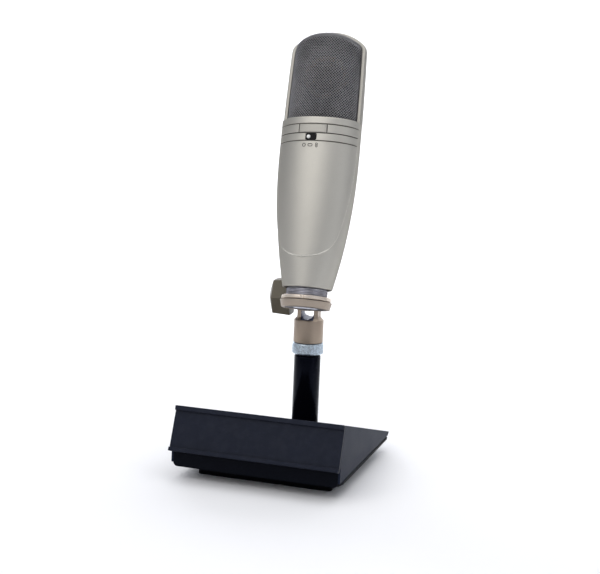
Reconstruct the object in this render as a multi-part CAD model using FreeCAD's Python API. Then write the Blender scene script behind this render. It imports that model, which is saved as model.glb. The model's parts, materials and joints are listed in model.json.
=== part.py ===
"""Desk stand with a wedge base, a short post, a tilting ring mount and a side-address microphone.

Millimetres, +Z up, -Y to the front.  The origin is on the face that the stand rests on, on the
centre line, midway between the front and back edges of the base.
"""
import FreeCAD, Part

import math
import os

from FreeCAD import Matrix, Placement, Rotation, Vector

os.makedirs("parts", exist_ok=True)

# Base: a wedge with a leaning front panel, a sloping cover and a recessed pad
base_width = 120.0
base_half_depth = 71.4
panel_bottom_z = 21.2
panel_top = (-60.4, 50.3)          # y, z of the panel's upper front edge
panel_thickness = 2.5
lip_depth = 1.8                    # how far the two card rails stand proud of the panel
back_edge_z = 14.5
back_bottom_y = 66.4
cover_thickness = 1.5
cap_thickness = 1.4
tray_bottom_z = 9.5
tray_floor = 2.0
tray_front_y = -66.6
cap_bottom_z = 12.2
pad_half_width = 48.5
pad_front_y = -47.4
pad_back_y = 58.0
pad_height = 4.5

# Post and lock ring
post_y = 44.8
post_radius = 10.0
post_bore = 8.0
post_top_z = 73.9
stud_radius = 7.94                 # 5/8 inch stand thread
stud_top_z = 95.0
ring_bottom_z = 74.7
ring_top_z = 83.1
ring_radius = 11.9
running_gap = 0.06

# Swivel fork
barrel_bottom_z = 83.5
barrel_top_z = 102.7
barrel_radius = 11.2
ear_half_width = 7.8
slot_half_width = 4.7
ear_radius = 6.5
pivot_z = 117.0
pivot_radius = 2.5
head_yaw = 6.6                     # degrees from the base's front, towards +X
head_tilt = 13.0                   # degrees that the ring and microphone lean back at rest

# Ring bracket, measured from the pivot: forward, up, and to the right of the fork's middle
reach = 32.0
drop = 8.2
side_step = 3.3
disc_radius = 18.85
disc_top = 2.5
disc_low = -2.8
disc_low_radius = 17.6
seat_lean = 0.6                    # degrees that the ring and microphone lean towards +X
neck_radius = 15.2
nut_radius = 17.9
nut_bottom = 3.1
nut_top = 5.9

# Microphone, heights w measured from the bottom rim of its body
mic_turn = -7.6                    # degrees between the ring's front and the microphone's front
rim_height = 11.6                  # rim above the middle of the ring's disc
rim_radius = 18.0
widest_half = 29.5
deepest_half = 21.5
widest_w = 100.0
head_w = 122.0                     # lower edge of the grille
dome_top_w = 190.8
dome_radius = 40.0
wall = 2.0
mesh_inset = 2.7
shield_rise = 0.8


# ---------------------------------------------------------------- small helpers
def export(name, shape):
    shape.exportStep("parts/" + name + ".step")


def box(x0, x1, y0, y1, z0, z1):
    return Part.makeBox(x1 - x0, y1 - y0, z1 - z0, Vector(x0, y0, z0))


def rod(radius, z0, z1, x=0.0, y=0.0):
    return Part.makeCylinder(radius, z1 - z0, Vector(x, y, z0))


def ring(outer, inner, z0, z1, x=0.0, y=0.0):
    return rod(outer, z0, z1, x, y).cut(rod(inner, z0 - 1, z1 + 1, x, y))


def cross_rod(radius, x0, x1, y=0.0, z=0.0):
    """A cylinder along X."""
    return Part.makeCylinder(radius, x1 - x0, Vector(x0, y, z), Vector(1, 0, 0))


def deep_rod(radius, y0, y1, x=0.0, z=0.0):
    """A cylinder along Y."""
    return Part.makeCylinder(radius, y1 - y0, Vector(x, y0, z), Vector(0, 1, 0))


def prism_x(points, x0, x1):
    """A polygon of (y, z) points, extruded along X."""
    corners = [Vector(x0, y, z) for y, z in points]
    face = Part.Face(Part.makePolygon(corners + corners[:1]))
    return face.extrude(Vector(x1 - x0, 0, 0))


def prism_y(points, y0, y1):
    """A polygon of (x, z) points, extruded along Y."""
    corners = [Vector(x, y0, z) for x, z in points]
    face = Part.Face(Part.makePolygon(corners + corners[:1]))
    return face.extrude(Vector(0, y1 - y0, 0))


def prism_z(points, z0, z1):
    """A polygon of (x, y) points, extruded along Z."""
    corners = [Vector(x, y, z0) for x, y in points]
    face = Part.Face(Part.makePolygon(corners + corners[:1]))
    return face.extrude(Vector(0, 0, z1 - z0))


def join(*shapes):
    return shapes[0].fuse(list(shapes[1:])).removeSplitter()


def round_upright_edges(shape, radius):
    """Fillet every straight edge that runs along Z."""
    upright = []
    for edge in shape.Edges:
        box_size = edge.BoundBox
        if box_size.XLength < 0.01 and box_size.YLength < 0.01:
            upright.append(edge)
    return shape.makeFillet(radius, upright)


def placed(shape, placement):
    copy = shape.copy()
    copy.Placement = placement.multiply(copy.Placement)
    return copy


# ---------------------------------------------------------------- frames of the moving parts
fork_frame = Placement(Vector(0, post_y, 0), Rotation(Vector(0, 0, 1), head_yaw))
pivot_frame = fork_frame.multiply(Placement(Vector(0, 0, pivot_z), Rotation(Vector(1, 0, 0), -head_tilt)))
disc_seat = Placement(Vector(side_step, -reach, -drop), Rotation(Vector(0, 1, 0), seat_lean))
disc_frame = pivot_frame.multiply(disc_seat)
mic_frame = disc_frame.multiply(
    Placement(Vector(0, 0, rim_height), Rotation(Vector(0, 0, 1), mic_turn)))


# ---------------------------------------------------------------- base
panel_run = panel_top[0] + base_half_depth
panel_rise = panel_top[1] - panel_bottom_z
panel_length = math.hypot(panel_run, panel_rise)
along = (panel_run / panel_length, panel_rise / panel_length)
cover_slope = (panel_top[1] - back_edge_z) / (base_half_depth - panel_top[0])


def on_panel(up, out):
    """The (y, z) point this far up the panel's front face and this far out of it."""
    return (-base_half_depth + up * along[0] - out * along[1],
            panel_bottom_z + up * along[1] + out * along[0])


def cover_z(y):
    """Height of the cover's outer face."""
    return panel_top[1] - cover_slope * (y - panel_top[0])


def front_panel():
    """Leaning extrusion with a hooked rail along its bottom and top for a name card."""
    hook, web = 0.8, 1.0
    outline = [
        (0, -panel_thickness), (0, lip_depth), (2.6, lip_depth), (2.6, lip_depth - hook),
        (web, lip_depth - hook), (web, 0),
        (panel_length - web, 0), (panel_length - web, lip_depth - hook),
        (panel_length - 3.2, lip_depth - hook), (panel_length - 3.2, lip_depth),
        (panel_length, lip_depth), (panel_length, -panel_thickness)]
    points = [on_panel(up, out) for up, out in outline]
    return prism_x(points, -base_width / 2, base_width / 2)


def top_cover():
    """Sloping sheet with a turned-down back edge and a clearance hole for the post."""
    upright = cover_thickness / math.cos(math.atan(cover_slope))
    front_y = on_panel(panel_length, -panel_thickness)[0] + 0.2
    inner_x = base_width / 2 - cap_thickness
    corner_y = base_half_depth
    points = [
        (front_y, cover_z(front_y)), (corner_y, cover_z(corner_y)),
        (back_bottom_y, tray_bottom_z + tray_floor + 0.1),
        (back_bottom_y - cover_thickness, tray_bottom_z + tray_floor + 0.1),
        (corner_y - 3.4, cover_z(corner_y - 3.4) - upright), (front_y, cover_z(front_y) - upright)]
    sheet = prism_x(points, -inner_x, inner_x)
    return sheet.cut(rod(post_radius + 0.8, 0, 100, 0, post_y))


def end_cap(side):
    """Flat wedge-shaped side plate."""
    low = on_panel(0, -panel_thickness)
    high = on_panel(panel_length, -panel_thickness)
    step = 0.15
    points = [
        (tray_front_y, cap_bottom_z), (tray_front_y, panel_bottom_z + 1.6),
        (low[0] + step + 1.05, panel_bottom_z + 1.6),
        (high[0] + step, cover_z(high[0])),
        (base_half_depth, cover_z(base_half_depth)),
        (back_bottom_y + 1.6, cap_bottom_z)]
    outer = side * base_width / 2
    inner = side * (base_width / 2 - cap_thickness)
    plate = prism_x(points, min(outer, inner), max(outer, inner))
    foot_y = (-55.0, 48.0)
    for y in foot_y:
        tab_in = side * (base_width / 2 - cap_thickness - 7.0)
        tab = box(min(inner, tab_in), max(inner, tab_in), y, y + 7, tray_bottom_z + tray_floor,
                  tray_bottom_z + tray_floor + 1.4)
        web = box(min(inner, inner - side), max(inner, inner - side), y, y + 7,
                  tray_bottom_z + tray_floor, cap_bottom_z + 1.6)
        plate = plate.fuse([tab, web])
    return plate.removeSplitter()


def base_tray():
    """Shallow tray with a set-back front wall; its side edges show as a fine line under the caps."""
    half = base_width / 2
    top = tray_bottom_z + tray_floor
    plan = [
        (-half + 4.4, tray_front_y), (half - 4.4, tray_front_y), (half - 1.4, tray_front_y + 4.6),
        (half - 0.1, tray_front_y + 9.6), (half - 0.1, back_bottom_y), (-half + 0.1, back_bottom_y),
        (-half + 0.1, tray_front_y + 9.6), (-half + 1.4, tray_front_y + 4.6)]
    floor = prism_z(plan, tray_bottom_z, top)
    wall_x = half - cap_thickness
    front = box(-wall_x, wall_x, tray_front_y, tray_front_y + tray_floor, tray_bottom_z, panel_bottom_z + 1.4)
    corners = []
    for edge in front.Edges:
        limits = edge.BoundBox
        if limits.YLength > 1 and limits.XLength < 0.01 and limits.ZLength < 0.01 and limits.ZMax < 12:
            corners.append(edge)
    front = front.makeFillet(3.0, corners)
    tray = floor.fuse(front)
    for x, y in tray_screw_places + plate_screw_places:
        tray = tray.cut(rod(2.1, 0, 20, x, y))
    tray = tray.cut(rod(5.2, 0, 20, 0, post_y))
    return tray.removeSplitter()


plate_screw_places = [(-38.0, -36.0), (38.0, -36.0), (-38.0, 48.0), (38.0, 48.0)]
tray_screw_places = [(-54.5, -51.5), (54.5, -51.5), (-54.5, 51.5), (54.5, 51.5)]


def ballast_plate():
    """Steel weight fixed under the tray."""
    plate = box(-pad_half_width, pad_half_width, pad_front_y, pad_back_y, pad_height, tray_bottom_z)
    plate = round_upright_edges(plate, 3.0)
    for x, y in plate_screw_places:
        plate = plate.cut(rod(2.1, 0, 20, x, y)).cut(rod(4.0, 0, pad_height + 2.6, x, y))
    return plate.cut(rod(9.5, 0, 20, 0, post_y))


def foot_pad():
    """Rubber pad that the stand rests on, with a hole over the post bolt."""
    pad = box(-pad_half_width, pad_half_width, pad_front_y, pad_back_y, 0, pad_height)
    pad = round_upright_edges(pad, 3.0)
    for x, y in plate_screw_places:
        pad = pad.cut(rod(4.0, -1, 10, x, y))
    return pad.cut(rod(9.5, -1, 10, 0, post_y))


def plate_screws():
    """Four screws that hold the ballast plate to the tray."""
    screws = []
    for x, y in plate_screw_places:
        screws.append(join(rod(3.6, pad_height, pad_height + 2.5, x, y), rod(2.0, pad_height, 11.0, x, y)))
    return Part.makeCompound(screws)


def cap_screws():
    """Four screws through the tray into the end caps' tabs."""
    screws = []
    for x, y in tray_screw_places:
        head = rod(3.4, tray_bottom_z - 1.6, tray_bottom_z, x, y)
        screws.append(join(head, rod(2.0, tray_bottom_z - 1.6, tray_bottom_z + tray_floor, x, y)))
    return Part.makeCompound(screws)


# ---------------------------------------------------------------- post
flange_top_z = 15.0


def post():
    tube = ring(post_radius, post_bore, tray_bottom_z + tray_floor, post_top_z, 0, post_y)
    top_edges = []
    for edge in tube.Edges:
        if edge.BoundBox.ZMin > post_top_z - 0.1 and edge.BoundBox.XLength > 2 * post_bore + 1:
            top_edges.append(edge)
    return tube.makeChamfer(1.0, top_edges)


def post_flange():
    return ring(17.0, post_radius, tray_bottom_z + tray_floor, flange_top_z, 0, post_y)


def post_plug():
    """Threaded plug in the foot of the tube."""
    plug = rod(post_bore, tray_bottom_z + tray_floor, 26.0, 0, post_y)
    return plug.cut(rod(5.0, 0, 24.0, 0, post_y))


def post_bolt():
    """Hexagon-head bolt that pulls the post down on the tray."""
    head = []
    for corner in range(6):
        angle = math.radians(60 * corner)
        head.append((7.4 * math.cos(angle), post_y + 7.4 * math.sin(angle)))
    head = prism_z(head, 2.2, 8.0)
    return join(head, rod(4.95, 8.0, 23.5, 0, post_y))


def post_washer():
    return ring(9.0, 5.1, 8.0, tray_bottom_z, 0, post_y)


def post_grommet():
    """Moulded collar that seals the post against the sloping cover."""
    collar = ring(14.0, post_radius + 0.05, 0, 60, 0, post_y)
    reach_y = 30.0
    low = [(post_y - reach_y, cover_z(post_y - reach_y)), (post_y + reach_y, cover_z(post_y + reach_y))]
    slab = prism_x([low[0], low[1], (low[1][0], low[1][1] + 0.5), (low[0][0], low[0][1] + 0.5)], -20, 20)
    upper = collar.common(slab)
    spigot = ring(post_radius + 0.75, post_radius + 0.05, 0, 60, 0, post_y)
    depth = cover_thickness / math.cos(math.atan(cover_slope))
    under = prism_x([(low[0][0], low[0][1] - depth), (low[1][0], low[1][1] - depth), low[1], low[0]], -20, 20)
    return join(upper, spigot.common(under))


def thread_stud():
    """Stand thread that stands out of the post."""
    stud = rod(stud_radius, 50.0, stud_top_z, 0, post_y)
    top_edges = [edge for edge in stud.Edges if edge.BoundBox.ZMin > stud_top_z - 0.1]
    return stud.makeChamfer(1.0, top_edges)


def lock_ring():
    """Fluted ring that jams the fork on the stand thread."""
    body = ring(ring_radius, stud_radius + running_gap, ring_bottom_z, ring_top_z, 0, post_y)
    flutes = 36
    cutters = []
    for index in range(flutes):
        angle = 2 * math.pi * index / flutes
        x = (ring_radius + 0.25) * math.cos(angle)
        y = post_y + (ring_radius + 0.25) * math.sin(angle)
        cutters.append(rod(0.62, ring_bottom_z + 1.2, ring_top_z - 1.2, x, y))
    return body.cut(cutters)


# ---------------------------------------------------------------- swivel fork, in the fork's frame
def swivel_fork():
    """Barrel with a blind stand thread, and two ears round a slot with a half-round floor."""
    barrel = rod(barrel_radius, barrel_bottom_z, barrel_top_z)
    barrel = barrel.makeChamfer(0.3, [e for e in barrel.Edges if e.BoundBox.ZMax < barrel_bottom_z + 0.1])
    barrel = barrel.makeChamfer(2.4, [e for e in barrel.Edges if e.BoundBox.ZMin > barrel_top_z - 0.1])
    ears = box(-ear_half_width, ear_half_width, -ear_radius, ear_radius, barrel_top_z - 4, pivot_z)
    tips = cross_rod(ear_radius, -ear_half_width, ear_half_width, 0, pivot_z)
    fork = join(barrel, ears, tips)
    slot_centre_z = 106.2
    slot = box(-slot_half_width, slot_half_width, -20, 20, slot_centre_z, pivot_z + 20)
    floor = deep_rod(slot_half_width, -20, 20, 0, slot_centre_z)
    fork = fork.cut(slot).cut(floor)
    fork = fork.cut(rod(stud_radius + running_gap, barrel_bottom_z - 1, 96.5))
    return fork.cut(cross_rod(pivot_radius + running_gap, -20, 20, 0, pivot_z))


def pivot_bolt():
    """Shouldered bolt through both ears; its head is on the right, its thread in the knob."""
    head = cross_rod(5.0, ear_half_width, ear_half_width + 3.4, 0, pivot_z)
    head = head.makeChamfer(0.8, [e for e in head.Edges if e.BoundBox.XMin > ear_half_width + 3.3])
    shank = cross_rod(pivot_radius, -24.0, ear_half_width, 0, pivot_z)
    bolt = join(head, shank)
    socket = cross_rod(1.9, ear_half_width + 1.4, ear_half_width + 4, 0, pivot_z)
    return bolt.cut(socket)


def friction_washers():
    rings = []
    for x0 in (-slot_half_width + 0.05, slot_half_width - 1.2):
        washer = cross_rod(6.0, x0, x0 + 1.15, 0, pivot_z)
        rings.append(washer.cut(cross_rod(pivot_radius + running_gap, -10, 10, 0, pivot_z)))
    return Part.makeCompound(rings)


knob_inner_x = -11.8
knob_face_x = -13.4
knob_outer_x = -26.9
knob_tip_x = -29.7


def thrust_washer():
    washer = cross_rod(5.6, knob_inner_x + 0.3, -ear_half_width, 0, pivot_z)
    return washer.cut(cross_rod(pivot_radius + running_gap, -20, 0, 0, pivot_z))


def clamp_knob():
    """Six-sided knob, edge on to the front, with a pyramid-shaped outer end and a round hub."""
    sections = []
    for x, flats in ((knob_face_x, 26.6), (knob_outer_x, 24.8), (knob_tip_x, 10.0)):
        corner = flats / math.sqrt(3)
        points = []
        for index in range(7):
            angle = math.radians(60 * index)
            points.append(Vector(x, corner * math.cos(angle), pivot_z + corner * math.sin(angle)))
        sections.append(Part.makePolygon(points))
    prism = Part.makeLoft(sections, True, True)
    hub = cross_rod(7.0, knob_face_x - 1, knob_inner_x, 0, pivot_z)
    knob = join(prism, hub)
    return knob.cut(cross_rod(4.0, -26.0, knob_inner_x + 1, 0, pivot_z))


def knob_insert():
    """Brass thread insert in the knob."""
    insert = cross_rod(4.0, -26.0, knob_inner_x - 0.6, 0, pivot_z)
    return insert.cut(cross_rod(pivot_radius + running_gap, -27, 0, 0, pivot_z))


# ---------------------------------------------------------------- ring bracket
def ring_bracket():
    """Ring that the microphone's neck screws into, with an arm that ends in the pivot eye.

    In the pivot's frame, before the lean: the pivot is the origin, -Y is forward.
    """
    disc = Part.makeCone(disc_low_radius, disc_radius, disc_top - disc_low, Vector(0, 0, disc_low))
    lower = [e for e in disc.Edges if e.BoundBox.ZMax < disc_low + 0.01]
    disc = placed(disc.makeChamfer(0.4, lower), disc_seat)
    half_tongue = 3.4
    eye = cross_rod(6.0, -half_tongue, half_tongue)
    top, low = -drop + disc_top, -drop + disc_low
    arm = prism_x([(-3.0, 5.2), (-5.9, 1.0), (-11.0, top), (-15.6, top - 0.2),
                   (-15.6, low + 0.2), (-11.0, low), (3.5, -4.9)], -half_tongue, half_tongue)
    bracket = join(disc, eye, arm)
    bore = placed(rod(neck_radius + running_gap, -40, 40), disc_seat)
    bracket = bracket.cut(bore)
    return bracket.cut(cross_rod(pivot_radius + running_gap, -20, 20))


def retaining_nut():
    """Jam nut above the ring, in the disc's frame."""
    nut = ring(nut_radius, neck_radius + running_gap, nut_bottom, nut_top)
    rims = []
    for edge in nut.Edges:
        if edge.BoundBox.ZLength < 0.01 and edge.BoundBox.XLength > 2 * neck_radius + 2:
            rims.append(edge)
    nut = nut.makeChamfer(0.4, rims)
    notches = []
    for index in range(6):
        angle = math.radians(60 * index + 90)
        x = (nut_radius + 0.5) * math.cos(angle)
        y = (nut_radius + 0.5) * math.sin(angle)
        notches.append(rod(1.4, nut_bottom - 1, nut_top + 1, x, y))
    return nut.cut(notches)


# ---------------------------------------------------------------- microphone, in its own frame
def half_width(w):
    """Half width of the body at this height above the rim."""
    if w <= widest_w:
        rest = (widest_w - w) / widest_w
        return widest_half - (widest_half - rim_radius) * rest ** 2.2
    return widest_half - 1.1 * ((w - widest_w) / 75.0) ** 2


def half_depth(w):
    """Half depth of the body at this height above the rim."""
    if w <= widest_w:
        rest = (widest_w - w) / widest_w
        return deepest_half - (deepest_half - rim_radius) * rest ** 2.2
    return deepest_half - 0.9 * ((w - widest_w) / 75.0) ** 2


def oval(w, grow):
    a = half_width(w) + grow
    c = half_depth(w) + grow
    curve = Part.Ellipse(Vector(0, 0, w), a, c) if a > c + 0.001 else Part.Circle(Vector(0, 0, w), Vector(0, 0, 1), a)
    return Part.Wire(curve.toShape())


def column(w0, w1, grow):
    """Solid between two heights with the body's outline, grown by this much."""
    count = max(3, int(round((w1 - w0) / 14.0)))
    heights = [w0 + (w1 - w0) * index / count for index in range(count + 1)]
    return Part.makeLoft([oval(w, grow) for w in heights], True, False)


def dome(grow):
    """Ball that closes the top of the head."""
    return Part.makeSphere(dome_radius + grow, Vector(0, 0, dome_top_w - dome_radius))


def head_solid(grow, w0):
    """Head from this height up, closed by the dome, grown by this much."""
    return column(w0, dome_top_w + 4, grow).common(dome(grow))


def mic_body():
    """Cast shell, open under the head, with a hole in its floor for the neck."""
    outer = column(0, head_w - 1.5, 0)
    inner = column(4.6, head_w + 2, -wall)
    recess = rod(rim_radius - 1.3, -1, 2.0)
    bore = rod(neck_radius - 1.0, -1, 10)
    shell = outer.cut(inner).cut(recess).cut(bore)
    pocket = box(window_x - window_half_x - 0.05, window_x + window_half_x + 0.05, -40, 0, window_w - window_half_w - 0.05,
                 window_w + window_half_w + 0.05)
    for x in (-8.0, 8.0):
        shell = shell.cut(Part.makeCylinder(1.95, 40, Vector(x, 0, 14.0), Vector(0, 1, 0)))
    return shell.cut(pocket)


label_w = 113.4
label_half_x = 10.2
label_half_w = 3.0
window_x = -0.7
window_w = 107.2
window_half_x = 3.9
window_half_w = 2.5
groove_ws = (116.7, 110.1, 104.3)
shield_outline = ((0, 20.8), (11.5, 23.2), (17.0, 27.0), (21.8, 36.4), (25.3, 53.0), (27.3, 67.6),
                  (28.4, 84.0), (28.8, head_w))     # half of its edge: sideways, height


def front_shield():
    """Raised U-shaped front plate with three grooves, a label seat and a switch window."""
    plate = column(16, head_w, shield_rise).cut(column(10, head_w + 5, 0.02))
    right = [Vector(x, 0, w) for x, w in shield_outline]
    left = [Vector(-x, 0, w) for x, w in reversed(shield_outline[1:])]
    curve = Part.BSplineCurve()
    curve.interpolate(left + right)
    top_left = Vector(-shield_outline[-1][0], 0, head_w + 1)
    top_right = Vector(shield_outline[-1][0], 0, head_w + 1)
    sides = [curve.toShape(), Part.makeLine(right[-1], top_right), Part.makeLine(top_right, top_left),
             Part.makeLine(top_left, left[0])]
    face = Part.Face(Part.Wire(sides))
    plate = plate.common(face.extrude(Vector(0, -40, 0)))
    for w in groove_ws:
        cutter = column(w - 0.35, w + 0.35, 2).cut(column(w - 1, w + 1, shield_rise - 0.5))
        plate = plate.cut(cutter.common(box(-40, 40, -40, 0, w - 2, w + 2)))
    window = box(window_x - window_half_x, window_x + window_half_x, -40, 0, window_w - window_half_w, window_w + window_half_w)
    label = box(-label_half_x, label_half_x, -40, 0, label_w - label_half_w, label_w + label_half_w)
    seat = label.cut(column(90, 130, shield_rise - 0.45))
    return plate.cut(window).cut(seat)


def label_plate():
    """Blank badge that stands slightly proud."""
    area = box(-label_half_x + 0.15, label_half_x - 0.15, -40, 0, label_w - label_half_w + 0.15,
               label_w + label_half_w - 0.15)
    return area.common(column(100, 125, shield_rise + 0.35).cut(column(99, 126, shield_rise - 0.44)))


def switch_window():
    """Sunk black plate that the switch knob slides in."""
    area = box(window_x - window_half_x + 0.05, window_x + window_half_x - 0.05, -40, 0, window_w - window_half_w + 0.05,
               window_w + window_half_w - 0.05)
    plate = area.common(column(90, 125, 0.1).cut(column(89, 126, -0.9)))
    slot = box(window_x - 3.1, window_x + 3.1, -40, 0, window_w - 0.75, window_w + 0.75)
    return plate.cut(slot)


switch_step = 1.9


def switch_knob():
    """Slide knob, at its left stop."""
    front = -half_depth(window_w)
    x = window_x - switch_step
    stem = box(x - 0.65, x + 0.65, front - 0.35, front + 3.8, window_w - 0.65, window_w + 0.65)
    cap = Part.makeCylinder(1.35, 1.0, Vector(x, front - 1.15, window_w), Vector(0, 1, 0))
    return join(stem, cap)


def switch_block():
    """Body of the slide switch behind the window."""
    front = -half_depth(window_w)
    block = box(window_x - 6.0, window_x + 6.0, front + 2.8, front + 7.2, window_w - 3.2, window_w + 3.2)
    return block.cut(box(window_x - 3.1, window_x + 3.1, front + 2.0, front + 4.4, window_w - 0.75, window_w + 0.75))


def pattern_marks():
    """Three plain pickup-pattern marks below the switch: a ring, a wide ring and a pair of rings."""
    w = 101.0
    a, b = half_width(w) + shield_rise, half_depth(w) + shield_rise
    solids = []
    for step, radius, across, up in ((-4.7, 1.35, 0, 0), (0, 1.1, 0.7, 0), (4.7, 0.9, 0, 0.75)):
        def rings(r):
            low = Part.makeCylinder(r, 0.14, Vector(-across, -0.17, -up), Vector(0, 1, 0))
            high = Part.makeCylinder(r, 0.14, Vector(across, -0.17, up), Vector(0, 1, 0))
            if across:
                return join(low, high, box(-across, across, -0.17, -0.03, -r, r))
            return join(low, high) if up else low
        mark = rings(radius).cut(rings(radius - 0.4))
        x = window_x + step
        y = -b * math.sqrt(1 - (x / a) ** 2)
        mark.rotate(Vector(0, 0, 0), Vector(0, 0, 1), math.degrees(math.atan2(x * b * b, -y * a * a)))
        mark.translate(Vector(x, y, w))
        solids.extend(mark.Solids)
    return Part.makeCompound(solids)


rail_outline = [(-3.4, head_w - 1.4), (3.4, head_w - 1.4), (2.6, 172.0), (1.3, 184.0), (1.3, 200.0),
                (-1.3, 200.0), (-1.3, 184.0), (-2.6, 172.0)]


def head_frame():
    """Hoop over the head that both grilles are fixed to, on a floor ring that closes the body."""
    hoop = head_solid(0, head_w - 1.4).cut(head_solid(-mesh_inset + 0.05, head_w - 4))
    hoop = hoop.common(prism_x(rail_outline, -40, 40))
    floor = column(head_w - 1.4, head_w, 0).cut(column(head_w - 3, head_w + 2, -mesh_inset - 1.6))
    return join(hoop, floor)


def grille(side):
    """One half of the wire basket; side is -1 in front and 1 behind."""
    gap = 0.03
    basket = head_solid(-mesh_inset, head_w + gap).cut(head_solid(-mesh_inset - 0.9, head_w - 2))
    y0, y1 = (-40, -gap) if side < 0 else (gap, 40)
    return basket.common(box(-40, 40, y0, y1, head_w, 220))


def inner_screen():
    """Fine inner screen that stops breath."""
    return head_solid(-mesh_inset - 1.6, head_w + 0.1).cut(head_solid(-mesh_inset - 2.1, head_w - 2))


def deck():
    """Insulating deck that carries the capsule post."""
    plate = column(head_w - 2.6, head_w - 1.45, -wall - 0.1)
    return plate.cut(rod(2.1, 100, 130, 0, 0))


capsule_w = 156.0
capsule_radius = 16.0


def capsule_post():
    """Moulded post and cradle under the capsule."""
    foot = rod(9.0, head_w - 1.45, head_w + 1.4)
    stem = rod(4.0, head_w, capsule_w - capsule_radius - 1.0)
    cradle = deep_rod(capsule_radius + 2.4, -3.2, 3.2, 0, capsule_w)
    cradle = cradle.cut(deep_rod(capsule_radius + 0.05, -5, 5, 0, capsule_w))
    cradle = cradle.cut(box(-40, 40, -10, 10, capsule_w - 6, 220))
    return join(foot, stem, cradle)


def capsule_body():
    """Backplate pair between the two diaphragms."""
    return deep_rod(capsule_radius, -3.4, 3.4, 0, capsule_w)


def capsule_ring(side):
    """Clamp ring of one diaphragm, with its screws."""
    y0, y1 = (-5.0, -3.4) if side < 0 else (3.4, 5.0)
    clamp = deep_rod(capsule_radius, y0, y1, 0, capsule_w)
    clamp = clamp.cut(deep_rod(capsule_radius - 3.2, -10, 10, 0, capsule_w))
    heads = []
    for index in range(8):
        angle = math.radians(45 * index + 22.5)
        x = (capsule_radius - 1.6) * math.cos(angle)
        z = capsule_w + (capsule_radius - 1.6) * math.sin(angle)
        outer_y = (y0 - 0.5, y0) if side < 0 else (y1, y1 + 0.5)
        heads.append(deep_rod(0.8, outer_y[0], outer_y[1], x, z))
    return clamp.fuse(heads)


def diaphragm(side):
    """Gold-coated film with its centre contact."""
    y0, y1 = (-3.9, -3.4) if side < 0 else (3.4, 3.9)
    film = deep_rod(capsule_radius - 3.2, y0, y1, 0, capsule_w)
    contact = deep_rod(1.3, min(y0, y0 * 1.25), max(y1, y1 * 1.25), 0, capsule_w)
    return film.fuse(contact)


def circuit_board():
    return box(-15.0, 15.0, 2.0, 3.6, 24.0, 112.0)


def board_parts():
    """Output transformer, capacitors and the input stage on the board."""
    pieces = [box(-10.0, 10.0, 3.6, 14.0, 32.0, 50.0)]
    for x, w in ((-8.5, 62.0), (8.5, 62.0), (-8.5, 76.0)):
        pieces.append(Part.makeCylinder(4.0, 9.0, Vector(x, 3.6, w), Vector(0, 1, 0)))
    pieces.append(box(2.0, 12.0, 3.6, 8.0, 72.0, 80.0))
    pieces.append(box(-6.0, 6.0, 3.6, 9.0, 92.0, 104.0))
    return Part.makeCompound(pieces)


def board_brackets():
    """Two angle brackets between the board and the body's floor."""
    pieces = []
    for x in (-12.0, 9.0):
        foot = box(x, x + 3.0, -6.0, 2.0, 8.6, 10.2)
        blade = box(x, x + 3.0, 0.4, 2.0, 8.6, 34.0)
        pieces.append(join(foot, blade))
    return Part.makeCompound(pieces)


def bottom_plate():
    """Floor of the body, clamped by the neck."""
    return ring(rim_radius - 2.1, neck_radius - 1.0 + 0.0, 4.6, 8.6)


connector_radius = 9.55
neck_low = -rim_height - 2.6


def mic_neck():
    """Threaded neck with the mouth of the three-pin connector."""
    thread = rod(neck_radius, neck_low, 0.9)
    waist = rod(neck_radius - 1.0, 0.9, 8.6)
    neck = join(thread, waist)
    step_w = neck_low + 5.6
    neck = neck.cut(rod(connector_radius, neck_low - 1, step_w))
    return neck.cut(rod(connector_radius - 0.25, neck_low - 1, 12))


pin_places = [(4.05 * math.cos(math.radians(a)), 4.05 * math.sin(math.radians(a))) for a in (150, 30, 270)]


def connector_insert():
    insert = rod(connector_radius - 0.25, 0.0, 5.0)
    for x, y in pin_places:
        insert = insert.cut(rod(1.22, -1, 6, x, y))
    return insert


def connector_pins():
    """Three contact pins on the usual circle."""
    pins = []
    for x, y in pin_places:
        pin = rod(1.2, neck_low + 6.0, 7.5, x, y)
        tips = [e for e in pin.Edges if e.BoundBox.ZMax < neck_low + 6.1]
        pins.append(pin.makeFillet(1.0, tips))
    return Part.makeCompound(pins)


def body_screws():
    """Two screws low on the back of the body, into the board brackets."""
    screws = []
    for x in (-8.0, 8.0):
        back = half_depth(14.0) * math.sqrt(1 - (x / half_width(14.0)) ** 2)
        screws.append(Part.makeCylinder(1.9, 2.2, Vector(x, back - 2.0, 14.0), Vector(0, 1, 0)))
    return Part.makeCompound(screws)


# ---------------------------------------------------------------- write every piece
base_pieces = {
    "front_panel": front_panel, "top_cover": top_cover, "base_tray": base_tray,
    "ballast_plate": ballast_plate, "foot_pad": foot_pad, "plate_screws": plate_screws,
    "cap_screws": cap_screws, "post": post, "post_flange": post_flange, "post_plug": post_plug,
    "post_bolt": post_bolt, "post_washer": post_washer, "post_grommet": post_grommet,
    "thread_stud": thread_stud, "lock_ring": lock_ring}
fork_pieces = {
    "swivel_fork": swivel_fork, "pivot_bolt": pivot_bolt, "friction_washers": friction_washers,
    "thrust_washer": thrust_washer, "clamp_knob": clamp_knob, "knob_insert": knob_insert}
mic_pieces = {
    "mic_body": mic_body, "front_shield": front_shield, "label_plate": label_plate,
    "switch_window": switch_window, "switch_knob": switch_knob, "switch_block": switch_block,
    "pattern_marks": pattern_marks, "head_frame": head_frame, "inner_screen": inner_screen,
    "deck": deck, "capsule_post": capsule_post, "capsule_body": capsule_body,
    "circuit_board": circuit_board, "board_parts": board_parts, "board_brackets": board_brackets,
    "bottom_plate": bottom_plate, "mic_neck": mic_neck, "connector_insert": connector_insert,
    "connector_pins": connector_pins, "body_screws": body_screws}

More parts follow.
